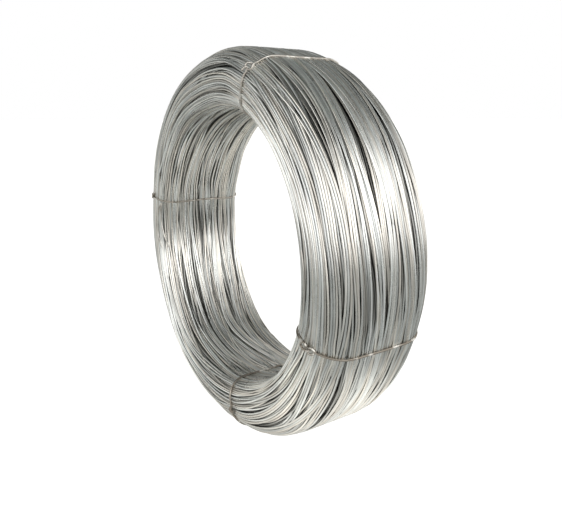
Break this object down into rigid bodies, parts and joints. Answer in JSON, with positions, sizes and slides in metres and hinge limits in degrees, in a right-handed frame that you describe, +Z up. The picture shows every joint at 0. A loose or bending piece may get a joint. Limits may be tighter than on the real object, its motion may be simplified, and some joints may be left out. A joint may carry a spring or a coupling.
{
  "type": "coil of galvanised steel wire",
  "caption": "Standing ring-shaped coil of bright galvanised steel wire with an open bore for a pay-off reel, held together by hooked tie wires.",
  "frame": {"origin": "centre of the bore, half way along the coil's axis", "axes": "+Y along the coil's axis, away from the end that carries the knots; +Z up as the coil stands on its rim; +X completes the right-handed frame"},
  "size_m": [0.49, 0.1465, 0.49],
  "materials": {
    "galvanised_wire": "bright drawn zinc, lightly streaked",
    "tie_wire": "dull annealed steel with bright glints"
  },
  "bodies": {
    "root": {"wire_coil": "galvanised_wire", "tie_wire_top": "tie_wire", "tie_wire_left": "tie_wire", "tie_wire_bottom": "tie_wire", "tie_wire_right": "tie_wire"}
  },
  "joints": []
}
